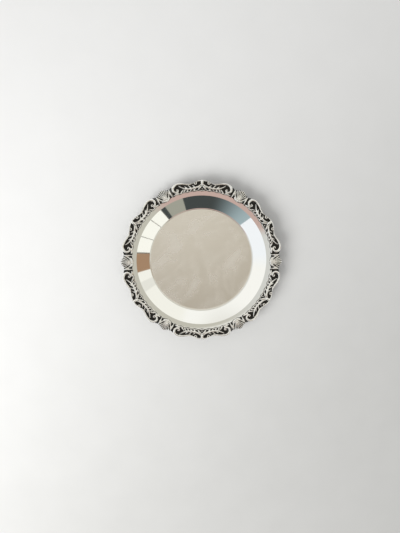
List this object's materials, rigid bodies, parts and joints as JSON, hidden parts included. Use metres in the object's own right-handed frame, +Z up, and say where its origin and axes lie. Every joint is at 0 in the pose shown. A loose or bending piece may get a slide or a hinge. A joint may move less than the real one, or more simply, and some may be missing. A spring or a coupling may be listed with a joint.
{
  "type": "coin tray",
  "caption": "Shallow round dish of polished silver plate, with a flat floor, a sloping wall and a cast border of scrolls and shells round its rim.",
  "frame": {"origin": "centre of the flat base, on the surface that the dish stands on", "axes": "+Z up; +Y towards the middle of a border length, which is the top of the picture; +X towards a shell"},
  "size_m": [0.1522, 0.1514, 0.0151],
  "materials": {
    "dish_plate": "polished silver plate, softly hazed on the floor",
    "scroll_plate": "polished silver plate over cast metal, dark in its recesses",
    "shell_plate": "polished silver plate over cast metal, dark in its recesses"
  },
  "bodies": {
    "root": {"dish": "dish_plate", "scroll_1": "scroll_plate", "scroll_2": "scroll_plate", "scroll_3": "scroll_plate", "scroll_4": "scroll_plate", "scroll_5": "scroll_plate", "scroll_6": "scroll_plate", "shell_1": "shell_plate", "shell_2": "shell_plate", "shell_3": "shell_plate", "shell_4": "shell_plate", "shell_5": "shell_plate", "shell_6": "shell_plate"}
  },
  "joints": []
}
